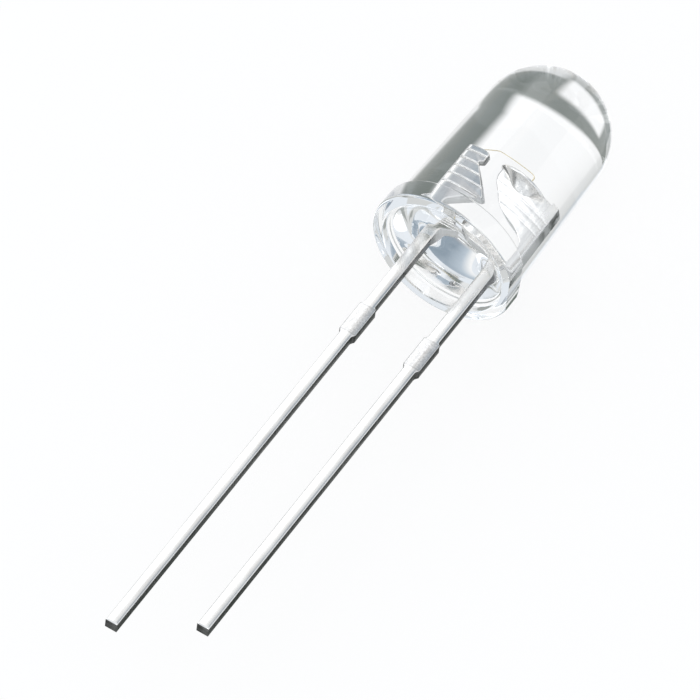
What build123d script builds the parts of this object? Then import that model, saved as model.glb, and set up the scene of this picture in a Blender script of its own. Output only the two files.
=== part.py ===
from build123d import *
import os
from math import sqrt

# A 5 mm through hole LED: a stamped steel lead frame, cast into a clear epoxy lens.
#
# It lies on its flange with its leads level. +Y runs along the lens towards the dome, +X
# towards the cathode and +Z up, square to the flat lead frame. The origin is the centre of
# the seat, the rim under the flange. Heights below are measured along +Y from the seat.
# Millimetres throughout.

os.makedirs("parts", exist_ok=True)

# --- lens casting ---------------------------------------------------------------------
barrel_root_diameter = 5.18  # where the barrel leaves the flange
barrel_draft = 0.20  # lost from the barrel's radius between the flange and the dome
dome_centre_height = 6.56
flange_height = 0.85
ledge_width = 0.21  # the flange stands this far outside the barrel
rim_width = 0.42  # flat ring left round the meniscus
recess_depth = 0.70  # how far the epoxy surface sags inside the rim
recess_shoulder_radius = 1.50  # the surface steepens from here out to the rim
recess_shoulder_drop = 0.16
flat_step = 0.03  # the cathode flat stands this far outside the barrel
ledge_edge_radius = 0.10
seat_edge_radius = 0.06
meniscus_height = 0.34  # epoxy wets each lead down to this height above the seat
meniscus_collar = 0.06  # epoxy left round a lead at the meniscus's end
meniscus_foot_radius = 0.62
meniscus_foot_cover = 0.04  # the wetted cone starts this far inside the epoxy

# --- stamped lead frame ---------------------------------------------------------------
strip_thickness = 0.45
lead_width = 0.45
lead_pitch = 2.54
frame_offset = 0.36  # the frame sits this far off the lens axis, towards the cathode
anode_length = 19.2
cathode_length = 17.6
stub_near = 3.30  # the sheared dam bar, measured down from the seat
stub_far = 4.65
stub_overhang = 0.09  # each side of the lead
corner_radius = 0.03  # punched corners

# --- anode post -----------------------------------------------------------------------
post_height = 3.90
post_inset = 0.15  # the post's outer edge steps in from the lead's
post_root = 1.15  # height of that step
pad_width = 0.46
pad_depth = 0.50  # height of the bonding pad at the post's top
web_top_inset = 0.09  # the web leaves the pad this far in from its edge
web_root_width = 0.92
web_root_height = 2.05
web_end_height = 1.35

# --- cathode anvil and reflector cup --------------------------------------------------
anvil_height = 3.75
tab_rise = 0.13  # the outer tab stands this far above the anvil
tab_width = 0.40
cup_centre_offset = 0.10  # from the middle of the lead frame, towards the cathode
cup_rim_radius = 0.68
cup_wall = 0.10
cup_depth = 0.36
cup_floor_radius = 0.34
cup_root_radius = 0.24
cup_height = 0.61  # from the cup's root in the anvil to its rim
anvil_margin = 0.08  # the anvil's edge stands this far inside the cup's rim
anvil_waist_drop = 0.63  # straight part of the anvil's inner edge, down from its top
anvil_neck_x = -0.02  # from the middle of the lead frame
anvil_neck_height = 2.12
anvil_sweep_x = 0.62
anvil_sweep_height = 1.93
anvil_root_height = 1.62

# --- coined locking grooves on the upper face -----------------------------------------
groove_width = 0.11
groove_depth = 0.04
groove_spacing = 0.34
post_groove_margin = 0.30  # first groove, down from the post's top
post_groove_count = 5
anvil_groove_margin = 0.12  # first groove, down from the cup's root
anvil_groove_count = 3

# --- chip, its attachment and the bond wire -------------------------------------------
chip_size = 0.28
chip_thickness = 0.12
attach_radius = 0.23
attach_thickness = 0.03
wire_diameter = 0.03
ball_radius = 0.045
ball_height = 0.03
stitch_radius = 0.04
stitch_height = 0.015
loop_rise = 0.32  # the loop's top above the taller of the post and the cup
loop_shoulder = 0.30  # the loop starts down this far before the pad
loop_bend_radius = 0.12

# --- places worked out from the sizes above -------------------------------------------
barrel_root_radius = barrel_root_diameter / 2
flange_radius = barrel_root_radius + ledge_width
dome_radius = barrel_root_radius - barrel_draft
dome_top = dome_centre_height + dome_radius
recess_radius = flange_radius - rim_width
flat_distance = barrel_root_radius + flat_step

anode_x = frame_offset - lead_pitch / 2
cathode_x = frame_offset + lead_pitch / 2
cup_x = frame_offset + cup_centre_offset

pad_left = anode_x - lead_width / 2 + post_inset
pad_centre_x = pad_left + pad_width / 2
cup_root_height = anvil_height - cup_height
cup_floor_height = anvil_height - cup_depth
loop_height = max(post_height, anvil_height) + loop_rise
chip_base = cup_floor_height + attach_thickness
chip_top = chip_base + chip_thickness
lead_diagonal = sqrt(lead_width**2 + strip_thickness**2)
meniscus_foot_height = recess_depth + meniscus_foot_cover


def stubbed_edge(edge_x, outward):
    """Lead edge from the tip side of the dam-bar stub to its body side, bottom to top."""
    stub_x = edge_x + outward * stub_overhang
    return [
        (edge_x, -stub_far),
        (stub_x, -stub_far),
        (stub_x, -stub_near),
        (edge_x, -stub_near),
    ]


def cut_grooves(top, count):
    """Coin locking grooves across the upper face of the frame being built, downwards."""
    for step in range(count):
        height = top - step * groove_spacing
        with Locations((frame_offset, height, strip_thickness / 2)):
            Box(2 * lead_pitch, groove_width, 2 * groove_depth, mode=Mode.SUBTRACT)


# --- anode half of the frame: lead, web and bonding post ------------------------------
anode_left = anode_x - lead_width / 2
anode_right = anode_x + lead_width / 2
web_top_x = pad_left + pad_width - web_top_inset
anode_outline = (
    [(anode_left, -anode_length)]
    + stubbed_edge(anode_left, -1)
    + [
        (anode_left, post_root),
        (pad_left, post_root + post_inset),
        (pad_left, post_height),
        (pad_left + pad_width, post_height),
        (pad_left + pad_width, post_height - pad_depth),
        (web_top_x, post_height - pad_depth - web_top_inset),
        (pad_left + web_root_width, web_root_height),
        (anode_right, web_end_height),
    ]
    + stubbed_edge(anode_right, 1)[::-1]
    + [(anode_right, -anode_length)]
)

with BuildPart() as anode_lead:
    with BuildSketch(Plane.XY):
        with BuildLine():
            FilletPolyline(*anode_outline, radius=corner_radius, close=True)
        make_face()
    extrude(amount=strip_thickness / 2, both=True)
    cut_grooves(post_height - post_groove_margin, post_groove_count)
anode_lead.part.label = "anode_lead"
export_step(anode_lead.part, "parts/anode_lead.step")

# --- cathode half of the frame: lead, anvil and reflector cup -------------------------
cathode_left = cathode_x - lead_width / 2
cathode_right = cathode_x + lead_width / 2
anvil_left = cup_x - cup_rim_radius + anvil_margin
tab_left = cathode_right - tab_width
cathode_outline = (
    [(cathode_right, -cathode_length)]
    + stubbed_edge(cathode_right, 1)
    + [
        (cathode_right, anvil_height + tab_rise),
        (tab_left, anvil_height + tab_rise),
        (tab_left, anvil_height),
        (anvil_left, anvil_height),
        (anvil_left, anvil_height - anvil_waist_drop),
        (frame_offset + anvil_neck_x, anvil_neck_height),
        (frame_offset + anvil_sweep_x, anvil_sweep_height),
        (cathode_left, anvil_root_height),
    ]
    + stubbed_edge(cathode_left, -1)[::-1]
    + [(cathode_left, -cathode_length)]
)

with BuildPart() as cathode_lead:
    with BuildSketch(Plane.XY):
        with BuildLine():
            FilletPolyline(*cathode_outline, radius=corner_radius, close=True)
        make_face()
    extrude(amount=strip_thickness / 2, both=True)
    cut_grooves(cup_root_height - anvil_groove_margin, anvil_groove_count)
    # the cup bulges out of the strip on both faces
    with BuildSketch(Plane.XY):
        with BuildLine():
            Polyline(
                (cup_x, cup_root_height),
                (cup_x + cup_root_radius, cup_root_height),
                (cup_x + cup_rim_radius, anvil_height - cup_wall),
                (cup_x + cup_rim_radius, anvil_height),
                (cup_x, anvil_height),
                close=True,
            )
        make_face()
    revolve(axis=Axis((cup_x, 0, 0), (0, 1, 0)))
    with BuildSketch(Plane.XY):
        with BuildLine():
            Polyline(
                (cup_x, cup_floor_height),
                (cup_x + cup_floor_radius, cup_floor_height),
                (cup_x + cup_rim_radius - cup_wall, anvil_height),
                (cup_x, anvil_height),
                close=True,
            )
        make_face()
    revolve(axis=Axis((cup_x, 0, 0), (0, 1, 0)), mode=Mode.SUBTRACT)
cathode_lead.part.label = "cathode_lead"
export_step(cathode_lead.part, "parts/cathode_lead.step")

# --- silver epoxy under the chip ------------------------------------------------------
cup_floor = Plane(origin=(cup_x, cup_floor_height, 0), x_dir=(1, 0, 0), z_dir=(0, 1, 0))

with BuildPart() as die_attach:
    with BuildSketch(cup_floor):
        Circle(attach_radius)
    extrude(amount=attach_thickness)
die_attach.part.label = "die_attach"
export_step(die_attach.part, "parts/die_attach.step")

# --- chip -----------------------------------------------------------------------------
with BuildPart() as led_die:
    with BuildSketch(cup_floor.offset(attach_thickness)):
        Rectangle(chip_size, chip_size)
    extrude(amount=chip_thickness)
led_die.part.label = "led_die"
export_step(led_die.part, "parts/led_die.step")

# --- gold wire: ball on the chip, loop over the cup's rim, stitch on the post ---------
with BuildPart() as bond_wire:
    with BuildLine() as loop:
        FilletPolyline(
            (cup_x, chip_top),
            (cup_x, loop_height),
            (pad_centre_x + loop_shoulder, loop_height),
            (pad_centre_x, post_height),
            radius=loop_bend_radius,
        )
    with BuildSketch(Plane(origin=loop.line @ 0, z_dir=loop.line % 0)):
        Circle(wire_diameter / 2)
    sweep(path=loop.line)
    with BuildSketch(cup_floor.offset(chip_top - cup_floor_height)):
        Circle(ball_radius)
    extrude(amount=ball_height)
    with BuildSketch(Plane(origin=(pad_centre_x, post_height, 0), z_dir=(0, 1, 0))):
        Circle(stitch_radius)
    extrude(amount=stitch_height)
    # nothing of the wire's slanted end may reach into the post
    with Locations((pad_centre_x, post_height, 0)):
        Box(
            pad_width,
            pad_depth,
            strip_thickness,
            align=(Align.CENTER, Align.MAX, Align.CENTER),
            mode=Mode.SUBTRACT,
        )
bond_wire.part.label = "bond_wire"
export_step(bond_wire.part, "parts/bond_wire.step")

# --- clear epoxy, cast round all of the above -----------------------------------------
with BuildPart() as lens_body:
    with BuildSketch(Plane.XY) as section:
        with BuildLine():
            sag = TangentArc(
                (0, recess_depth),
                (recess_shoulder_radius, recess_depth - recess_shoulder_drop),
                tangent=(1, 0),
            )
            TangentArc(sag @ 1, (recess_radius, 0), tangent=sag % 1)
            Line((recess_radius, 0), (flange_radius, 0))
            Line((flange_radius, 0), (flange_radius, flange_height))
            Line((flange_radius, flange_height), (barrel_root_radius, flange_height))
            dome = CenterArc((0, dome_centre_height), dome_radius, 0, 90)
            Line((barrel_root_radius, flange_height), dome @ 0)
            Line((0, dome_top), (0, recess_depth))
        make_face()
        fillet(
            section.vertices().sort_by_distance((flange_radius, flange_height))[0],
            radius=ledge_edge_radius,
        )
        fillet(
            section.vertices().sort_by_distance((flange_radius, 0))[0],
            radius=seat_edge_radius,
        )
    revolve(axis=Axis.Y)
    # the flat that marks the cathode
    with Locations((flat_distance, 0, 0)):
        Box(
            flange_radius,
            flange_height,
            2 * flange_radius,
            align=(Align.MIN, Align.MIN, Align.CENTER),
            mode=Mode.SUBTRACT,
        )
    # epoxy wets each lead where it comes out
    for lead_x in (anode_x, cathode_x):
        wetted = Plane(
            origin=(lead_x, meniscus_height, 0), x_dir=(0, 0, 1), z_dir=(0, 1, 0)
        )
        with Locations(wetted):
            Cone(
                bottom_radius=lead_diagonal / 2 + meniscus_collar,
                top_radius=meniscus_foot_radius,
                height=meniscus_foot_height - meniscus_height,
                align=(Align.CENTER, Align.CENTER, Align.MIN),
            )
    add(cathode_lead.part, mode=Mode.SUBTRACT)
    add(anode_lead.part, mode=Mode.SUBTRACT)
    add(die_attach.part, mode=Mode.SUBTRACT)
    add(led_die.part, mode=Mode.SUBTRACT)
    add(bond_wire.part, mode=Mode.SUBTRACT)
lens_body.part.label = "lens_body"
export_step(lens_body.part, "parts/lens_body.step")
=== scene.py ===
import math

import bmesh
import bpy
from bpy.props import FloatProperty, FloatVectorProperty, IntProperty, PointerProperty
from mathutils import Matrix, Vector


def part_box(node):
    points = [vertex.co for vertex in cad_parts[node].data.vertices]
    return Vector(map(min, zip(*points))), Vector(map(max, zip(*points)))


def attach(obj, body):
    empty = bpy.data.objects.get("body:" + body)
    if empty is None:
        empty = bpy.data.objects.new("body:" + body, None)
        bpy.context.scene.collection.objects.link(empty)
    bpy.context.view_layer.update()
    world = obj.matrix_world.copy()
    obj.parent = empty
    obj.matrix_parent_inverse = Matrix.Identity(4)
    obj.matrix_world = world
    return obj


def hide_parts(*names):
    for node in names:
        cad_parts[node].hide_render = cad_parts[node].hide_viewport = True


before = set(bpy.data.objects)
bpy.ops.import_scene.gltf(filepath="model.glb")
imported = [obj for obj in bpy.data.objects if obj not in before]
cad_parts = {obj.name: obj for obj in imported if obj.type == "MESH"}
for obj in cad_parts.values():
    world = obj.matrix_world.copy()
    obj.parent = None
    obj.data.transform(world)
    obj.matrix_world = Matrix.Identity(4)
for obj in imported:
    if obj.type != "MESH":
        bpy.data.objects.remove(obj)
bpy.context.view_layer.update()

bl_info = {
    "name": "Clear round LED",
    "version": (1, 0, 0),
    "blender": (4, 5, 0),
    "location": "View3D > Sidebar > LED",
    "description": "Builds a clear 5 mm through-hole LED round its CAD frame, with its studio",
    "category": "Add Mesh",
}

MM = 0.001
LENS_LOW, LENS_HIGH = (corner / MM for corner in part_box("lens_body"))
ANODE_LOW, ANODE_HIGH = (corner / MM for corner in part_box("anode_lead"))
CATHODE_LOW, CATHODE_HIGH = (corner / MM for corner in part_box("cathode_lead"))
DIE_LOW, DIE_HIGH = (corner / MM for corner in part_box("led_die"))
ATTACH_LOW, ATTACH_HIGH = (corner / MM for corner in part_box("die_attach"))
WIRE_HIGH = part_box("bond_wire")[1] / MM

# Heights on each lead, above the seat: the stub of the sheared tie bar, with slanted ends.
STUB_FOOT, STUB_LOW, STUB_HIGH, STUB_HEAD = -4.74, -4.62, -3.32, -3.24
STUB_OVERHANG = 0.09
HALF_LEAD = 0.225
# Where the plated faces stop carrying their crown, above the seat.
CROWN_TOP = 1.0
# Light that meets more surfaces of the resin than this leaves it.
LAST_TURN = 4.5


# ---------------------------------------------------------------------------------------
# Sizes and colours, in millimetres unless a unit says otherwise
# ---------------------------------------------------------------------------------------
def size(name, description, default):
    return FloatProperty(
        name=name, description=description, default=default, min=0, max=50, precision=3
    )


def metres(name, description, default):
    return FloatProperty(name=name, description=description, default=default, unit="LENGTH")


def colour(name, description, default):
    return FloatVectorProperty(
        name=name, description=description, default=default, subtype="COLOR", min=0, max=1
    )


class LensSettings(bpy.types.PropertyGroup):
    flange_radius: size("Flange radius", "Radius of the flange, mm", -LENS_LOW.x)
    flat_distance: size("Flat distance", "Centre to the flat on the flange, mm", LENS_HIGH.x)
    flange_height: size("Flange height", "Height of the flange above the seat, mm", 0.85)
    barrel_root_radius: size("Barrel root radius", "Barrel radius at the flange, mm", 2.59)
    dome_radius: size("Dome radius", "Radius of the dome, mm", 2.39)
    dome_top: size("Dome top", "Height of the dome's tip, mm", LENS_HIGH.y)
    recess_depth: size("Recess depth", "Depth of the cast face at its middle, mm", 0.70)
    recess_radius: size("Recess radius", "Radius of the recess in the seat, mm", 2.38)
    shoulder_radius: size("Shoulder radius", "Where the cast face turns down, mm", 1.50)
    shoulder_drop: size("Shoulder drop", "How far the cast face has sunk there, mm", 0.16)
    edge_radius: size("Edge radius", "Rounding of the moulded edges, mm", 0.11)
    wetting_height: size("Wetting height", "Climb of the resin up each lead, mm", 0.30)
    wetting_reach: size("Wetting reach", "How far from a lead the resin climbs, mm", 0.46)
    steps: IntProperty(name="Steps", description="Faces round the lens", default=240, min=24)
    tint: colour("Tint", "Colour of the clear resin", (0.985, 0.993, 0.998))
    index: FloatProperty(
        name="Refractive index", description="Index of the cast resin", default=1.53
    )


class FrameSettings(bpy.types.PropertyGroup):
    strip_thickness: size("Strip thickness", "Thickness of the lead frame, mm", 0.45)
    edge_round: size("Edge round", "Rounding of the punched edges, mm", 0.045)
    crown: size("Crown", "Rise of the tinned faces along their middle, mm", 0.022)
    groove_width: size("Groove width", "Width of a coined groove, mm", 0.13)
    groove_depth: size("Groove depth", "Depth of a coined groove, mm", 0.055)
    groove_spacing: size("Groove spacing", "Step from groove to groove, mm", 0.34)
    post_spacing: size("Post spacing", "Step from groove to groove on the post, mm", 0.41)
    tin: colour("Tin", "Colour of the plated faces", (0.95, 0.93, 0.90))
    # The colour of the punched sides is bare steel, darkened further as painted shade.
    shear: colour("Sheared edge", "Colour of the punched side faces", (0.14, 0.14, 0.14))


class DieSettings(bpy.types.PropertyGroup):
    chip: colour("Chip", "Colour of the chip", (0.30, 0.34, 0.40))
    paste: colour("Paste", "Colour of the silver paste", (0.62, 0.62, 0.60))
    gold: colour("Gold", "Colour of the bond wire", (0.94, 0.80, 0.52))


class StageSettings(bpy.types.PropertyGroup):
    floor_colour: colour("Floor", "Colour of the floor", (0.95, 0.95, 0.95))
    panel_colour: colour("Panel", "Brightness of the panel under the floor", (1.0, 1.0, 1.0))
    surround_colour: colour("Surround", "Brightness round the panel", (0.155, 0.178, 0.162))
    panel_right: metres("Panel right", "Right edge of the panel", 0.014)
    panel_near: metres("Panel near", "Near edge of the panel", 0.027)
    panel_softness: metres("Panel softness", "Fade at the panel's edges", 0.006)
    focal_length: FloatProperty(
        name="Focal length", description="Camera focal length, mm", default=455.6
    )
    distance: metres("Distance", "Camera to the seat's centre", 0.300)


# ---------------------------------------------------------------------------------------
# Materials
# ---------------------------------------------------------------------------------------
class Nodes:
    """A material's node tree, with short calls to add and join nodes."""

    def __init__(self, name):
        self.material = bpy.data.materials.new(name)
        self.material.use_nodes = True
        self.tree = self.material.node_tree
        self.shader = self.tree.nodes["Principled BSDF"]
        self.output = self.tree.nodes["Material Output"]

    def add(self, kind):
        return self.tree.nodes.new(kind)

    def join(self, out, into):
        self.tree.links.new(out, into)

    def set(self, **values):
        for key, value in values.items():
            self.shader.inputs[key.replace("_", " ")].default_value = value

    def place(self, scale=(1, 1, 1)):
        """The Object coordinates, scaled."""
        coordinate = self.add("ShaderNodeTexCoord")
        mapping = self.add("ShaderNodeMapping")
        mapping.inputs["Scale"].default_value = scale
        self.join(coordinate.outputs["Object"], mapping.inputs["Vector"])
        return mapping.outputs["Vector"]

    def axes(self):
        """The X and Y of the Object coordinates."""
        split = self.add("ShaderNodeSeparateXYZ")
        self.join(self.place(), split.inputs[0])
        return split.outputs["X"], split.outputs["Y"]

    def noise(self, vector, scale, detail):
        node = self.add("ShaderNodeTexNoise")
        node.inputs["Scale"].default_value = scale
        node.inputs["Detail"].default_value = detail
        self.join(vector, node.inputs["Vector"])
        return node.outputs["Fac"]

    def range(self, value, low, high, to_low, to_high, kind="LINEAR"):
        node = self.add("ShaderNodeMapRange")
        node.interpolation_type = kind
        node.inputs["From Min"].default_value = low
        node.inputs["From Max"].default_value = high
        node.inputs["To Min"].default_value = to_low
        node.inputs["To Max"].default_value = to_high
        self.join(value, node.inputs["Value"])
        return node.outputs["Result"]

    def ramp(self, value, *stops):
        node = self.add("ShaderNodeValToRGB")
        ramp = node.color_ramp
        while len(ramp.elements) < len(stops):
            ramp.elements.new(0.5)
        for element, (position, tone) in zip(ramp.elements, stops):
            element.position = position
            element.color = (*tone, 1)
        self.join(value, node.inputs["Fac"])
        return node.outputs["Color"]

    def bump(self, height, strength, distance):
        node = self.add("ShaderNodeBump")
        node.inputs["Strength"].default_value = strength
        node.inputs["Distance"].default_value = distance
        self.join(height, node.inputs["Height"])
        return node.outputs["Normal"]

    def blend(self, factor, a, b, kind="MIX"):
        """Mix two colours, each given as a socket or as a tuple."""
        node = self.add("ShaderNodeMix")
        node.data_type = "RGBA"
        node.blend_type = kind
        self.join(factor, node.inputs[0])
        for socket, value in ((node.inputs[6], a), (node.inputs[7], b)):
            if isinstance(value, tuple):
                socket.default_value = (*value, 1)
            else:
                self.join(value, socket)
        return node.outputs[2]

    def choose(self, factor, first, second):
        """Mix two shaders."""
        node = self.add("ShaderNodeMixShader")
        for socket, value in zip(node.inputs, (factor, first, second)):
            self.join(value, socket)
        return node.outputs["Shader"]

    def glow(self, tone):
        """Show that colour evenly, whatever light falls on it."""
        node = self.add("ShaderNodeEmission")
        self.join(tone, node.inputs["Color"])
        self.join(node.outputs["Emission"], self.output.inputs["Surface"])

    def maths(self, operation, a, b):
        node = self.add("ShaderNodeMath")
        node.operation = operation
        for socket, value in zip(node.inputs, (a, b)):
            if isinstance(value, (int, float)):
                socket.default_value = value
            else:
                self.join(value, socket)
        return node.outputs["Value"]


def clear_resin(settings):
    """Cast clear epoxy: polished by its mould, with a faint waviness."""
    n = Nodes("clear_cast_epoxy")
    n.set(
        Base_Color=(*settings.tint, 1),
        Roughness=0.0,
        IOR=settings.index,
        Transmission_Weight=1.0,
    )
    wave = n.noise(n.place(), 700.0, 2.0)
    n.join(n.bump(wave, 0.03, 0.00002), n.shader.inputs["Normal"])
    through = n.add("ShaderNodeBsdfTransparent")
    through.inputs["Color"].default_value = (*settings.tint, 1)
    path = n.add("ShaderNodeLightPath")
    caught = n.maths("GREATER_THAN", path.outputs["Ray Depth"], LAST_TURN)
    passing = n.maths("MAXIMUM", path.outputs["Is Shadow Ray"], caught)
    surface = n.choose(passing, n.shader.outputs["BSDF"], through.outputs["BSDF"])
    n.join(surface, n.output.inputs["Surface"])
    return n.material


def tin_plate(settings, name="tin_plated_face", grip_share=0.72):
    """Bright tin over rolled steel, with fine rolling lines along it and faint clouds.

    grip_share is how much of its brightness the stub of the tie bar keeps.
    """
    n = Nodes(name)
    n.set(Metallic=1.0)
    lines = n.noise(n.place(scale=(9000.0, 260.0, 9000.0)), 1.0, 3.0)
    clouds = n.noise(n.place(), 900.0, 3.0)
    r, g, b = settings.tin
    tone = n.ramp(
        n.maths("ADD", n.maths("MULTIPLY", lines, 0.55), n.maths("MULTIPLY", clouds, 0.45)),
        (0.32, (r * 0.80, g * 0.80, b * 0.81)),
        (0.54, (r, g, b)),
    )
    y = n.axes()[1]
    # The stub: stippled where it was gripped, with a fine line across each end.
    low_line, high_line, fade = STUB_LOW * MM, (STUB_HIGH - 0.02) * MM, 0.04 * MM
    grip = n.maths(
        "MULTIPLY",
        n.range(y, low_line, low_line + fade, 0.0, 1.0),
        n.range(y, high_line - 0.03 * MM, high_line + 0.01 * MM, 1.0, 0.0),
    )

    def line(height):
        away = n.maths("ABSOLUTE", n.maths("SUBTRACT", y, height), 0)
        return n.range(away, 0.02 * MM, 0.05 * MM, 1.0, 0.0)

    ends = n.maths("MAXIMUM", line(low_line), line(high_line))
    stipple = n.range(n.noise(n.place(), 14000.0, 2.0), 0.40, 0.60, 0.35, 0.9)
    marks = n.maths("MAXIMUM", n.maths("MULTIPLY", grip, stipple), ends)
    dull = (grip_share, grip_share, grip_share * 1.01)
    n.join(n.blend(marks, tone, dull, "MULTIPLY"), n.shader.inputs["Base Color"])
    n.join(n.range(clouds, 0.3, 0.7, 0.16, 0.30), n.shader.inputs["Roughness"])
    n.join(n.bump(lines, 0.25, 0.000006), n.shader.inputs["Normal"])
    return n.material


def sheared_steel(settings):
    """The punched side faces: dark bare steel, darkened further as painted shade, with the die's
    short tearing lines across them.

    From 0.3 mm above the seat upwards they are painted pale and non-metallic, a painted
    lightening that breaks into flecks above 2.2 mm.
    """
    n = Nodes("sheared_edge_painted_light_and_shade")
    tears = n.noise(n.place(scale=(3000.0, 9000.0, 1500.0)), 1.0, 4.0)
    along = n.noise(n.place(scale=(2000.0, 700.0, 7000.0)), 1.0, 3.0)
    # Painted shade: the side faces' steel tone is set darker than bare steel, standing in for
    # shade.
    r, g, b = settings.shear
    tone = n.ramp(
        n.maths("ADD", n.maths("MULTIPLY", tears, 0.5), n.maths("MULTIPLY", along, 0.5)),
        (0.36, (r * 0.40, g * 0.40, b * 0.40)),
        (0.60, (r * 1.8, g * 1.8, b * 1.8)),
    )
    y = n.axes()[1]
    # Painted light: from 0.3 mm up the side faces turn pale and non-metallic so they read
    # lighter, in flecks above 2.2 mm.
    painted_light_band = n.maths(
        "SUBTRACT",
        n.range(y, 0.3 * MM, 0.9 * MM, 0.0, 0.95),
        n.maths(
            "MULTIPLY",
            n.range(y, 2.2 * MM, 2.9 * MM, 0.0, 1.0),
            n.range(n.noise(n.place(), 3600.0, 3.0), 0.42, 0.58, 0.15, 0.85),
        ),
    )
    n.join(n.range(painted_light_band, 0.0, 1.0, 1.0, 0.0), n.shader.inputs["Metallic"])
    n.join(n.blend(painted_light_band, tone, (0.95, 0.95, 0.94)), n.shader.inputs["Base Color"])
    n.join(n.range(along, 0.3, 0.7, 0.26, 0.44), n.shader.inputs["Roughness"])
    n.join(n.bump(tears, 0.35, 0.00001), n.shader.inputs["Normal"])
    return n.material


def chip_surface(settings):
    """The chip: dark, glassy, with a finely etched top."""
    n = Nodes("chip_surface")
    etched = n.noise(n.place(), 20000.0, 2.0)
    r, g, b = settings.chip
    n.join(
        n.ramp(etched, (0.35, (r * 0.7, g * 0.7, b * 0.7)), (0.65, (r, g, b))),
        n.shader.inputs["Base Color"],
    )
    n.join(n.range(etched, 0.3, 0.7, 0.18, 0.35), n.shader.inputs["Roughness"])
    return n.material


def silver_paste(settings):
    """Cured silver paste: matt, grainy flakes."""
    n = Nodes("silver_paste_surface")
    n.set(Metallic=0.6)
    flakes = n.noise(n.place(), 30000.0, 3.0)
    r, g, b = settings.paste
    n.join(
        n.ramp(flakes, (0.3, (r * 0.6, g * 0.6, b * 0.6)), (0.7, (r, g, b))),
        n.shader.inputs["Base Color"],
    )
    n.join(n.range(flakes, 0.3, 0.7, 0.4, 0.6), n.shader.inputs["Roughness"])
    n.join(n.bump(flakes, 0.4, 0.000004), n.shader.inputs["Normal"])
    return n.material


def gold_surface(settings):
    """Drawn gold wire, with faint die lines."""
    n = Nodes("drawn_gold")
    n.set(Metallic=1.0)
    drawn = n.noise(n.place(), 25000.0, 2.0)
    r, g, b = settings.gold
    n.join(
        n.ramp(drawn, (0.3, (r * 0.88, g * 0.88, b * 0.85)), (0.7, (r, g, b))),
        n.shader.inputs["Base Color"],
    )
    n.join(n.range(drawn, 0.3, 0.7, 0.18, 0.28), n.shader.inputs["Roughness"])
    return n.material


def white_sweep(settings):
    """The floor: the top of a pale light table.

    It stays white where it is seen and keeps a faint shadow. Glass and metal see through
    it, to the lit panels and the dark surround below.
    """
    n = Nodes("pale_floor")
    n.set(Roughness=0.9, Base_Color=(*settings.floor_colour, 1), Specular_IOR_Level=0.0)
    glow = n.add("ShaderNodeEmission")
    clear = n.add("ShaderNodeBsdfTransparent")
    path = n.add("ShaderNodeLightPath")
    through = n.maths(
        "MAXIMUM", path.outputs["Is Glossy Ray"], path.outputs["Is Transmission Ray"]
    )
    seen = n.maths("MULTIPLY", path.outputs["Is Camera Ray"], 0.86)
    lit = n.choose(seen, n.shader.outputs["BSDF"], glow.outputs["Emission"])
    n.join(n.choose(through, lit, clear.outputs["BSDF"]), n.output.inputs["Surface"])
    return n.material


def light_table(settings):
    """The card under the floor: lit panels with soft edges, in a dark surround."""
    n = Nodes("light_table")
    x, y = n.axes()
    soft = settings.panel_softness

    def edge(value, at, softness, rising):
        """A smooth step where value passes at, up if rising and down if not, in metres."""
        low, high = (0.0, 1.0) if rising else (1.0, 0.0)
        return n.range(value, at - softness, at + softness, low, high, "SMOOTHSTEP")

    # The window in the barrel, and a strip that makes the highlight in the dome.
    main = n.maths(
        "MULTIPLY",
        edge(x, settings.panel_right, soft, False),
        edge(y, settings.panel_near, soft * 0.35, True),
    )
    strip = n.maths(
        "MULTIPLY",
        n.maths("MULTIPLY", edge(y, -0.016, 0.008, True), edge(y, 0.016, 0.004, False)),
        n.maths("MULTIPLY", edge(x, -0.080, 0.010, True), edge(x, -0.010, 0.005, False)),
    )
    far = n.maths("ADD", n.maths("MULTIPLY", edge(x, -0.110, 0.070, True), 0.16), 0.84)
    # Dimmer areas round them. A grey corner of the near one draws the dome's outline.
    corner = n.maths(
        "MULTIPLY",
        edge(y, -0.085, 0.010, True),
        n.maths("MULTIPLY", edge(x, -0.150, 0.010, True), edge(x, -0.004, 0.006, False)),
    )
    near = n.maths(
        "MULTIPLY", edge(y, -0.006, 0.004, False), n.range(corner, 0.0, 1.0, 0.62, 0.22)
    )
    beyond = n.maths("MULTIPLY", edge(x, 0.070, 0.012, True), 0.75)
    middle = n.maths("MULTIPLY", edge(x, 0.012, 0.005, False), 0.10)
    lit = n.maths(
        "MAXIMUM",
        n.maths("MAXIMUM", n.maths("MULTIPLY", main, far), strip),
        n.maths("MAXIMUM", n.maths("MAXIMUM", near, beyond), middle),
    )
    tone = n.ramp(
        lit, (0.0, tuple(settings.surround_colour)), (1.0, tuple(settings.panel_colour))
    )
    n.glow(tone)
    return n.material


def grey_shades():
    """The grey card: neutral for the plated faces, blue-grey to white for the recess."""
    n = Nodes("grey_card")
    x, y = n.axes()
    near = n.ramp(
        n.range(x, -0.040, 0.090, 0.0, 1.0),
        (0.0, (0.84, 0.85, 0.86)),
        (1.0, (0.40, 0.42, 0.46)),
    )
    far = n.ramp(
        n.range(x, -0.035, 0.055, 0.0, 1.0),
        (0.0, (1.0, 1.0, 1.0)),
        (0.38, (0.50, 0.58, 0.66)),
        (1.0, (0.27, 0.34, 0.41)),
    )
    n.glow(n.blend(n.range(y, 0.125, 0.165, 0.0, 1.0), near, far))
    return n.material


# ---------------------------------------------------------------------------------------
# Mesh helpers
# ---------------------------------------------------------------------------------------
def bevel(bm, geom, offset, segments, affect="EDGES"):
    """Round those edges, or the corners of a wire where affect is VERTICES."""
    bmesh.ops.bevel(
        bm,
        geom=geom,
        offset=offset,
        offset_type="OFFSET",
        segments=segments,
        profile=0.5,
        affect=affect,
        material=-1,
        clamp_overlap=affect == "EDGES",
    )


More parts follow.
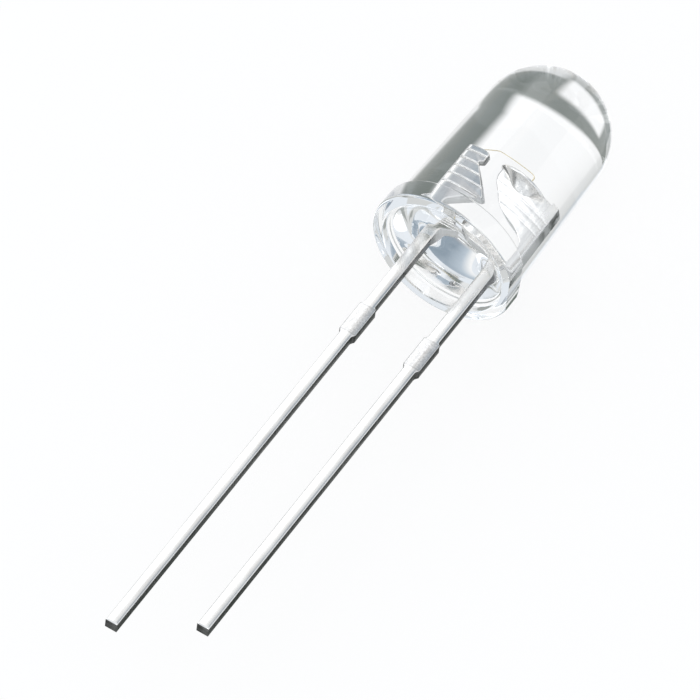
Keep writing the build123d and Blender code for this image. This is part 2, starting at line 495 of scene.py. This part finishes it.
def arc(bm, start, centre, angle, steps):
    """Sweep a vertex or a face round centre, in the XY plane. Returns its last copy."""
    made = bmesh.ops.spin(
        bm,
        geom=[start],
        cent=(*centre, 0),
        axis=(0, 0, 1),
        dvec=(0, 0, 0),
        angle=angle,
        steps=steps,
        use_merge=False,
        use_duplicate=False,
    )
    return [g for g in made["geom_last"] if isinstance(g, type(start))][0]


def run(bm, vert, x, y):
    """Continue a wire from vert straight to (x, y). Returns its last vertex."""
    made = bmesh.ops.extrude_vert_indiv(bm, verts=[vert])["verts"][0]
    bmesh.ops.translate(bm, verts=[made], vec=Vector((x, y, 0)) - made.co)
    return made


def revolve(bm, steps):
    """Spin the whole wire round the Y axis, closed at its seam and poles."""
    bmesh.ops.spin(
        bm,
        geom=bm.verts[:] + bm.edges[:],
        cent=(0, 0, 0),
        axis=(0, 1, 0),
        dvec=(0, 0, 0),
        angle=math.tau,
        steps=steps,
        use_merge=True,
        use_duplicate=False,
    )
    bmesh.ops.remove_doubles(bm, verts=bm.verts, dist=0.0008)
    bmesh.ops.recalc_face_normals(bm, faces=bm.faces)


def slab(outline, thickness, rounded):
    """A punched sheet piece with that outline. rounded gives (x, y, radius) for soft corners."""
    bm = bmesh.new()
    face = bm.faces.new([bm.verts.new((x, y, -thickness / 2)) for x, y in outline])
    made = bmesh.ops.extrude_face_region(bm, geom=[face])["geom"]
    top = [g for g in made if isinstance(g, bmesh.types.BMVert)]
    bmesh.ops.translate(bm, verts=top, vec=(0, 0, thickness))
    open_edges = [e for e in bm.edges if e.is_boundary]
    if open_edges:
        bmesh.ops.holes_fill(bm, edges=open_edges, sides=0)
    bmesh.ops.recalc_face_normals(bm, faces=bm.faces)
    for x, y, radius in rounded:
        corner = [
            e
            for e in bm.edges
            if all((v.co.xy - Vector((x, y))).length < 0.002 for v in e.verts)
        ]
        bevel(bm, corner, radius, 6)
    return bm


def round_rims(bm, thickness, radius):
    """Round the edges between a slab's two faces and its sides."""
    half = thickness / 2 - 1e-4
    rims = [
        e
        for e in bm.edges
        if all(v.co.z > half for v in e.verts) or all(v.co.z < -half for v in e.verts)
    ]
    bevel(bm, rims, radius, 3)


def cut(bm, axis, place):
    """Cut every face of the mesh along the plane where that axis has that value."""
    point, normal = Vector((0, 0, 0)), Vector((0, 0, 0))
    point[axis], normal[axis] = place, 1
    bmesh.ops.bisect_plane(
        bm,
        geom=bm.verts[:] + bm.edges[:] + bm.faces[:],
        plane_co=point,
        plane_no=normal,
        dist=1e-5,
    )


def sink(bm, y, shape, depth, above):
    """Press the vertices of the upper face near height y down by depth, as shape says."""
    for offset, share in shape:
        row = [v for v in bm.verts if abs(v.co.y - y - offset) < 2e-4 and v.co.z > above]
        bmesh.ops.translate(bm, verts=row, vec=(0, 0, -depth * share))


def finish_piece(name, bm, materials, pick, nodes, sharp=38.0):
    """Turn the mesh into a piece in metres, shaded smooth between its sharp edges."""
    for face in bm.faces:
        face.smooth = True
        face.material_index = pick(face) if pick else 0
    for edge in bm.edges:
        if edge.is_manifold:
            edge.smooth = edge.calc_face_angle(0.0) < math.radians(sharp)
    bmesh.ops.scale(bm, vec=(MM, MM, MM), verts=bm.verts)
    mesh = bpy.data.meshes.new(name)
    bm.to_mesh(mesh)
    bm.free()
    for material in materials:
        mesh.materials.append(material)
    piece = bpy.data.objects.new(name, mesh)
    bpy.context.scene.collection.objects.link(piece)
    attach(piece, "root")
    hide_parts(*nodes)


def join_meshes(first, *others):
    """Copy the other meshes into the first, and free them."""
    for other in others:
        mesh = bpy.data.meshes.new("joined")
        other.to_mesh(mesh)
        other.free()
        first.from_mesh(mesh)
        bpy.data.meshes.remove(mesh)


PLATED, SHEARED, BURNISHED = 0, 1, 2


def lead_materials(settings):
    """The materials of a lead, in the order of PLATED, SHEARED and BURNISHED."""
    return [
        tin_plate(settings),
        sheared_steel(settings),
        tin_plate(settings, "burnished_groove", 1.0),
    ]


def plated_or_sheared(face):
    """Tell a plated face from a punched side and from the burnished wall of a groove."""
    if abs(face.normal.z) < 0.42:
        return SHEARED
    grooved = 1.5 < face.calc_center_median().y < 3.8
    if grooved and abs(face.normal.y) > 0.2 and face.normal.z > 0.4:
        return BURNISHED
    return PLATED


# ---------------------------------------------------------------------------------------
# Pieces
# ---------------------------------------------------------------------------------------
class LED_OT_lens(bpy.types.Operator):
    """Cast the clear body: recess, seat, flange with its flat, barrel and dome"""

    bl_idname = "led.lens"
    bl_label = "Clear body"

    def execute(self, context):
        s = context.scene.led_lens
        bm = bmesh.new()
        # The cast face: a shallow crown that turns down into the seat's rim.
        big = (s.shoulder_radius**2 + s.shoulder_drop**2) / (2 * s.shoulder_drop)
        turn = math.asin(s.shoulder_radius / big)
        start = bm.verts.new((0, s.recess_depth, 0))
        shoulder = arc(bm, start, (0, s.recess_depth - big), -turn, 50)
        inward = Vector((-math.sin(turn), -math.cos(turn)))
        reach = Vector((s.recess_radius, 0)) - shoulder.co.xy
        small = reach.length_squared / (2 * reach.dot(inward))
        centre = shoulder.co.xy + inward * small
        sweep = 2 * math.asin(reach.length / (2 * small))
        inner = arc(bm, shoulder, centre, -sweep, 30)
        outer = run(bm, inner, s.flange_radius, 0)
        ledge = run(bm, outer, s.flange_radius, s.flange_height)
        root = run(bm, ledge, s.barrel_root_radius, s.flange_height)
        dome_centre = s.dome_top - s.dome_radius
        neck = run(bm, root, s.dome_radius, dome_centre)
        arc(bm, neck, (0, dome_centre), math.pi / 2, 64)
        edge = s.edge_radius
        for vert, radius in ((inner, 0.05), (outer, edge), (ledge, edge), (root, 0.10)):
            bevel(bm, [vert], radius, 6, "VERTICES")
        revolve(bm, steps=s.steps)
        # The flat on the cathode side of the flange.
        cut(bm, 0, s.flat_distance)
        proud = [v for v in bm.verts if v.co.x > s.flat_distance + 1e-5]
        bmesh.ops.scale(
            bm, vec=(0, 1, 1), space=Matrix.Translation((-s.flat_distance, 0, 0)), verts=proud
        )
        bmesh.ops.dissolve_degenerate(bm, edges=bm.edges, dist=1e-5)
        # The resin climbs each lead where it was poured round it.
        half = context.scene.led_frame.strip_thickness / 2
        for low, high in ((ANODE_LOW, ANODE_HIGH), (CATHODE_LOW, CATHODE_HIGH)):
            lead_x = lead_centre(low, high)
            for v in bm.verts:
                if v.co.y > s.recess_depth + 0.02 or v.co.xz.length > s.recess_radius - 0.1:
                    continue
                away = math.hypot(
                    max(abs(v.co.x - lead_x) - half, 0.0), max(abs(v.co.z) - half, 0.0)
                )
                if away < s.wetting_reach:
                    v.co.y -= s.wetting_height * (1 - away / s.wetting_reach) ** 2.4
        bmesh.ops.recalc_face_normals(bm, faces=bm.faces)
        finish_piece(
            "clear_lens", bm, [clear_resin(s)], None, ["lens_body"], sharp=50.0
        )
        return {"FINISHED"}


def lead_centre(low, high):
    """The x of a lead's shank: on the left of the anode's box, on the right of the cathode's."""
    inset = STUB_OVERHANG + HALF_LEAD
    return low.x + inset if low.x < -1 else high.x - inset


def stub_side(x, outward):
    """The outline of the stub on one side of a lead, from its foot up."""
    wide = x + outward * STUB_OVERHANG
    return [(x, STUB_FOOT), (wide, STUB_LOW), (wide, STUB_HIGH), (x, STUB_HEAD)]


def stub_corners(left, right):
    """The soft inner corners of the stub, for slab."""
    return [(x, y, 0.05) for x in (right, left) for y in (STUB_HEAD, STUB_FOOT)]


def shank(bm, x, settings, bottom):
    """Crown the tinned faces of a lead along its length."""
    half, reach = settings.strip_thickness / 2, 0.20
    for offset in (-0.14, -0.07, 0.0, 0.07, 0.14):
        cut(bm, 0, x + offset)
    # Cuts close to each end keep the shading of the long faces even.
    for y in (bottom + 0.10, -4.80, -4.60, -3.35, -3.15, 0.3, CROWN_TOP):
        cut(bm, 1, y)
    for v in bm.verts:
        across = abs(v.co.x - x)
        if across < reach and abs(v.co.z) > half - 1e-3 and v.co.y < CROWN_TOP + 0.05:
            v.co.z += math.copysign(settings.crown * (1 - (across / reach) ** 2), v.co.z)


def grooves(bm, settings, top, count, depth, spacing):
    """Coin a row of grooves across the upper face, downwards from top."""
    width = settings.groove_width / 2
    shape = ((-0.5 * width, 0.75), (0.0, 1.0), (0.5 * width, 0.75))
    half = settings.strip_thickness / 2
    for step in range(count):
        y = top - step * spacing
        for offset in (-width, -0.5 * width, 0.0, 0.5 * width, width):
            cut(bm, 1, y + offset)
        sink(bm, y, shape, depth, half - 0.02)


class LED_OT_anode(bpy.types.Operator):
    """Punch the anode: its long lead, stub and grooved post with the wire pad"""

    bl_idname = "led.anode"
    bl_label = "Anode lead"

    def execute(self, context):
        s = context.scene.led_frame
        x = lead_centre(ANODE_LOW, ANODE_HIGH)
        left, right = x - HALF_LEAD, x + HALF_LEAD
        # The post, from its outer side over the pad to the toe and the root.
        top_left, top_right = (-0.985, ANODE_HIGH.y), (-0.525, ANODE_HIGH.y)
        nose, throat, toe, root = (-0.525, 3.40), (-0.615, 3.31), (-0.065, 2.05), (right, 1.35)
        outline = [
            (left, ANODE_LOW.y),
            *stub_side(left, -1),
            (left, 1.15),
            (-0.985, 1.30),
            top_left,
            top_right,
            nose,
            throat,
            toe,
            root,
            *reversed(stub_side(right, 1)),
            (right, ANODE_LOW.y),
        ]
        rounded = [
            (*top_left, 0.07),
            (*top_right, 0.16),
            (*nose, 0.05),
            (*throat, 0.04),
            (*toe, 0.10),
            (*root, 0.12),
            *stub_corners(left, right),
        ]
        bm = slab(outline, s.strip_thickness, rounded)
        round_rims(bm, s.strip_thickness, s.edge_round)
        shank(bm, x, s, ANODE_LOW.y)
        grooves(bm, s, ANODE_HIGH.y - 0.28, 5, s.groove_depth, s.post_spacing)
        finish_piece(
            "anode_lead_frame",
            bm,
            lead_materials(s),
            plated_or_sheared,
            ["anode_lead"],
        )
        return {"FINISHED"}


class LED_OT_cathode(bpy.types.Operator):
    """Punch the cathode: its lead, stub, ribbed anvil and the coined reflector cup"""

    bl_idname = "led.cathode"
    bl_label = "Cathode lead and cup"

    def execute(self, context):
        s = context.scene.led_frame
        x = lead_centre(CATHODE_LOW, CATHODE_HIGH)
        left, right = x - HALF_LEAD, x + HALF_LEAD
        cup_x, cup_radius, rim_y, floor_y, root_y = 0.46, 0.68, 3.75, 3.39, 3.14
        waist, neck, sweep, root = (-0.14, 3.12), (0.34, 2.12), (0.98, 1.93), (left, 1.62)
        outline = [
            (right, CATHODE_LOW.y),
            *stub_side(right, 1),
            (right, CATHODE_HIGH.y),
            (1.455, CATHODE_HIGH.y),
            (1.455, rim_y),
            (cup_x + 0.62, rim_y),
            (cup_x + 0.37, floor_y - 0.03),
            (cup_x - 0.37, floor_y - 0.03),
            (-0.14, rim_y - 0.05),
            waist,
            neck,
            sweep,
            root,
            *reversed(stub_side(left, -1)),
            (left, CATHODE_LOW.y),
        ]
        rounded = [
            (*waist, 0.20),
            (*neck, 0.30),
            (*sweep, 0.16),
            (*root, 0.10),
            (right, CATHODE_HIGH.y, 0.05),
            *stub_corners(left, right),
        ]
        bm = slab(outline, s.strip_thickness, rounded)
        round_rims(bm, s.strip_thickness, s.edge_round)
        shank(bm, x, s, CATHODE_LOW.y)
        grooves(bm, s, root_y - 0.12, 3, s.groove_depth * 0.16, s.groove_spacing)
        # The cup: a coined cone with a flat floor and a rounded rim.
        cup = bmesh.new()
        start = cup.verts.new((0, root_y, 0))
        low = run(cup, start, 0.24, root_y)
        swell = run(cup, low, cup_radius, rim_y - 0.10)
        rim = run(cup, swell, cup_radius, rim_y)
        lip = run(cup, rim, 0.58, rim_y)
        well = run(cup, lip, 0.34, floor_y)
        run(cup, well, 0, floor_y)
        for vert, radius in ((low, 0.05), (swell, 0.03), (rim, 0.035), (lip, 0.02), (well, 0.04)):
            bevel(cup, [vert], radius, 4, "VERTICES")
        revolve(cup, steps=72)
        bmesh.ops.translate(cup, verts=cup.verts, vec=(cup_x, 0, 0))
        join_meshes(bm, cup)

        def pick(face):
            """The cup is plated all over, where it stands out of the strip."""
            middle = face.calc_center_median() - Vector((cup_x, 0, 0))
            in_cup = math.hypot(middle.x, middle.z) < cup_radius + 0.005
            if in_cup and middle.y > root_y - 0.01:
                if abs(middle.z) > s.strip_thickness / 2 + 0.001 or middle.y > floor_y - 0.01:
                    return PLATED
            return plated_or_sheared(face)

        finish_piece(
            "cathode_lead_frame",
            bm,
            lead_materials(s),
            pick,
            ["cathode_lead"],
        )
        return {"FINISHED"}


class LED_OT_die(bpy.types.Operator):
    """Set the chip in the cup: a bevelled die with its bond pad, on cured silver paste"""

    bl_idname = "led.die"
    bl_label = "Chip and paste"

    def execute(self, context):
        s = context.scene.led_die
        centre = (DIE_LOW + DIE_HIGH) / 2
        width, height = DIE_HIGH.x - DIE_LOW.x, DIE_HIGH.y - DIE_LOW.y
        bm = bmesh.new()
        bmesh.ops.create_cube(bm, size=1)
        bmesh.ops.scale(bm, vec=(width, height, width), verts=bm.verts)
        top = [f for f in bm.faces if f.normal.y > 0.9]
        mesa = bmesh.ops.inset_region(bm, faces=top, thickness=0.025, use_even_offset=True)
        bmesh.ops.translate(
            bm, verts=list({v for f in mesa["faces"] for v in f.verts}), vec=(0, -0.012, 0)
        )
        for v in {v for f in top for v in f.verts}:
            v.co.y = height / 2
        bevel(bm, [e for e in bm.edges if e.calc_face_angle(0) > 0.6], 0.005, 2)
        bmesh.ops.translate(bm, verts=bm.verts, vec=centre)
        finish_piece("chip", bm, [chip_surface(s)], None, ["led_die"])

        paste = bmesh.new()
        middle = (ATTACH_LOW + ATTACH_HIGH) / 2
        radius, low, high = (ATTACH_HIGH.x - ATTACH_LOW.x) / 2, ATTACH_LOW.y, ATTACH_HIGH.y
        start = paste.verts.new((0, low, 0))
        foot = run(paste, start, radius, low)
        edge = run(paste, foot, radius * 0.86, high)
        run(paste, edge, 0, high)
        bevel(paste, [edge], 0.02, 4, "VERTICES")
        revolve(paste, steps=48)
        bmesh.ops.translate(paste, verts=paste.verts, vec=(middle.x, 0, middle.z))
        finish_piece("die_paste", paste, [silver_paste(s)], None, ["die_attach"])
        return {"FINISHED"}


class LED_OT_bond_wire(bpy.types.Operator):
    """Loop the gold bond wire from the ball on the chip to the stitch on the post"""

    bl_idname = "led.bond_wire"
    bl_label = "Bond wire"

    def execute(self, context):
        s = context.scene.led_die
        chip_x, chip_top = (DIE_LOW.x + DIE_HIGH.x) / 2, DIE_HIGH.y
        pad_x, pad_top, loop = -0.755, ANODE_HIGH.y, WIRE_HIGH.y - 0.015
        bm = bmesh.new()
        ring = bmesh.ops.create_circle(bm, cap_ends=True, segments=12, radius=0.015)["verts"]
        upright = Matrix.Rotation(math.pi / 2, 3, "X")
        bmesh.ops.rotate(bm, verts=ring, cent=(0, 0, 0), matrix=upright)
        bmesh.ops.translate(bm, verts=ring, vec=(chip_x, chip_top + 0.002, 0))
        face = list(bm.faces)[0]

        def grow(face, vec):
            """Continue the wire straight on from its end face. Returns the new end face."""
            made = bmesh.ops.extrude_face_region(bm, geom=[face])["geom"]
            end = [g for g in made if isinstance(g, bmesh.types.BMFace)][0]
            bmesh.ops.translate(bm, verts=end.verts, vec=vec)
            if face.is_valid:
                bmesh.ops.delete(bm, geom=[face], context="FACES_ONLY")
            return end

        # Up from the ball, level to the left, then down the slope to the stitch.
        bend_radius, descent = 0.12, 0.30
        face = grow(face, (0, loop - bend_radius - chip_top, 0))
        face = arc(bm, face, (chip_x - bend_radius, loop - bend_radius), math.pi / 2, 10)
        slope = math.atan2(loop - pad_top, descent)
        drop_x = pad_x + descent
        back = bend_radius * math.tan(slope / 2)
        face = grow(face, (drop_x + back - (chip_x - bend_radius), 0, 0))
        face = arc(bm, face, (drop_x + back, loop - bend_radius), slope, 8)
        end = face.calc_center_median()
        face = grow(face, Vector((pad_x + 0.01, pad_top + 0.012, 0)) - end)
        ball = bmesh.new()
        bmesh.ops.create_uvsphere(ball, u_segments=20, v_segments=12, radius=0.045)
        bmesh.ops.scale(ball, vec=(1, 0.5, 1), verts=ball.verts)
        bmesh.ops.translate(ball, verts=ball.verts, vec=(chip_x, chip_top + 0.015, 0))
        stitch = bmesh.new()
        bmesh.ops.create_uvsphere(stitch, u_segments=20, v_segments=12, radius=0.04)
        bmesh.ops.scale(stitch, vec=(1, 0.36, 1), verts=stitch.verts)
        bmesh.ops.translate(stitch, verts=stitch.verts, vec=(pad_x, pad_top + 0.002, 0))
        bmesh.ops.recalc_face_normals(bm, faces=bm.faces)
        join_meshes(bm, ball, stitch)
        finish_piece("gold_bond_wire", bm, [gold_surface(s)], None, ["bond_wire"])
        return {"FINISHED"}


# ---------------------------------------------------------------------------------------
# Stage
# ---------------------------------------------------------------------------------------
def sheet_object(name, width, height, matrix, material, hidden):
    """A flat stage card of that size in metres. A hidden one is seen in glass and metal only."""
    bm = bmesh.new()
    bmesh.ops.create_grid(bm, x_segments=1, y_segments=1, size=0.5)
    bmesh.ops.scale(bm, vec=(width, height, 1), verts=bm.verts)
    bmesh.ops.transform(bm, matrix=matrix, verts=bm.verts)
    mesh = bpy.data.meshes.new(name)
    bm.to_mesh(mesh)
    bm.free()
    mesh.materials.append(material)
    card = bpy.data.objects.new(name, mesh)
    bpy.context.scene.collection.objects.link(card)
    if hidden:
        card.visible_camera = False
        card.visible_shadow = False
        card.visible_diffuse = False


def facing(place, target):
    """A matrix at place whose Z axis points at target."""
    direction = Vector(target) - Vector(place)
    return Matrix.Translation(place) @ direction.to_track_quat("Z", "Y").to_matrix().to_4x4()


def softbox(name, place, target, width, height, level):
    """A large soft lamp whose face is as bright as level."""
    lamp = bpy.data.lights.new(name, "AREA")
    lamp.shape = "RECTANGLE"
    lamp.size, lamp.size_y = width, height
    lamp.energy = level * math.pi * width * height
    holder = bpy.data.objects.new(name, lamp)
    bpy.context.scene.collection.objects.link(holder)
    direction = Vector(target) - Vector(place)
    holder.matrix_world = (
        Matrix.Translation(place) @ direction.to_track_quat("-Z", "Y").to_matrix().to_4x4()
    )


def studio_world():
    """White to the camera, and a cool even fill to everything else."""
    world = bpy.data.worlds.new("studio")
    world.use_nodes = True
    tree = world.node_tree
    tree.nodes.clear()
    out = tree.nodes.new("ShaderNodeOutputWorld")
    mix = tree.nodes.new("ShaderNodeMixShader")
    path = tree.nodes.new("ShaderNodeLightPath")
    seen = tree.nodes.new("ShaderNodeBackground")
    fill = tree.nodes.new("ShaderNodeBackground")
    seen.inputs["Color"].default_value = (1, 1, 1, 1)
    fill.inputs["Color"].default_value = (0.83, 0.87, 0.92, 1)
    tree.links.new(path.outputs["Is Camera Ray"], mix.inputs[0])
    tree.links.new(fill.outputs["Background"], mix.inputs[1])
    tree.links.new(seen.outputs["Background"], mix.inputs[2])
    tree.links.new(mix.outputs["Shader"], out.inputs["Surface"])
    return world


def studio_camera(settings):
    """Place the camera above and behind the leads, looking along them to the lens."""
    data = bpy.data.cameras.new("camera")
    data.lens, data.sensor_width = settings.focal_length, 36.0
    data.clip_start, data.clip_end = 0.01, 5.0
    camera = bpy.data.objects.new("camera", data)
    bpy.context.scene.collection.objects.link(camera)
    toward = Vector((0.2559, -0.5533, 0.7927)).normalized()
    level = Vector((0.8468, 0.5239, 0.0923)).normalized()
    eye = toward * settings.distance
    target = Vector((-1.196, -3.635, -2.151)) * MM
    back = (eye - target).normalized()
    right = (level - back * level.dot(back)).normalized()
    up = back.cross(right)
    turn = Matrix((right, up, back)).transposed().to_4x4()
    camera.matrix_world = Matrix.Translation(eye) @ turn
    return camera


class LED_OT_stage(bpy.types.Operator):
    """Lay the floor over its light table, set the lamps and card, and place the camera"""

    bl_idname = "led.stage"
    bl_label = "Studio and camera"

    def execute(self, context):
        s = context.scene.led_stage
        scene = context.scene
        floor_z = LENS_LOW.z * MM
        sheet_object(
            "floor", 0.60, 0.60, Matrix.Translation((0, 0, floor_z)), white_sweep(s), False
        )
        sheet_object(
            "light_table_card",
            1.60,
            1.60,
            Matrix.Translation((0, 0, floor_z - 0.060)),
            light_table(s),
            True,
        )
        sheet_object(
            "grey_card",
            0.22,
            0.26,
            facing((0.055, 0.175, 0.215), (0, 0, 0)),
            grey_shades(),
            True,
        )
        softbox("key_softbox", (-0.150, 0.125, 0.24), (0, -0.004, 0), 0.22, 0.24, 0.62)
        softbox("left_softbox", (-0.26, -0.06, 0.12), (0, 0, 0), 0.20, 0.16, 1.1)
        softbox("front_softbox", (0.06, -0.26, 0.20), (0, 0, 0), 0.16, 0.16, 1.1)

        scene.world = studio_world()
        scene.view_settings.view_transform = "Standard"
        scene.camera = studio_camera(s)
        return {"FINISHED"}


# ---------------------------------------------------------------------------------------
# Panel and registration
# ---------------------------------------------------------------------------------------
STEPS = (LED_OT_stage, LED_OT_lens, LED_OT_anode, LED_OT_cathode, LED_OT_die, LED_OT_bond_wire)
GROUPS = {
    "led_lens": LensSettings,
    "led_frame": FrameSettings,
    "led_die": DieSettings,
    "led_stage": StageSettings,
}


class LED_PT_parts(bpy.types.Panel):
    """Lists the LED's pieces and their sizes"""

    bl_label = "Clear round LED"
    bl_idname = "LED_PT_parts"
    bl_space_type = "VIEW_3D"
    bl_region_type = "UI"
    bl_category = "LED"

    def draw(self, context):
        for step in STEPS:
            self.layout.operator(step.bl_idname, text=step.bl_label)
        for key, group in GROUPS.items():
            box = self.layout.box()
            for name in group.__annotations__:
                box.prop(getattr(context.scene, key), name)


def register():
    for kind in (*GROUPS.values(), *STEPS, LED_PT_parts):
        bpy.utils.register_class(kind)
    for key, group in GROUPS.items():
        setattr(bpy.types.Scene, key, PointerProperty(type=group))


def unregister():
    for key in GROUPS:
        delattr(bpy.types.Scene, key)
    for kind in reversed((*GROUPS.values(), *STEPS, LED_PT_parts)):
        bpy.utils.unregister_class(kind)


def main():
    register()
    bpy.ops.led.stage()
    bpy.ops.led.lens()
    bpy.ops.led.anode()
    bpy.ops.led.cathode()
    bpy.ops.led.die()
    bpy.ops.led.bond_wire()
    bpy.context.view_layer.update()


if __name__ == "__main__":
    main()
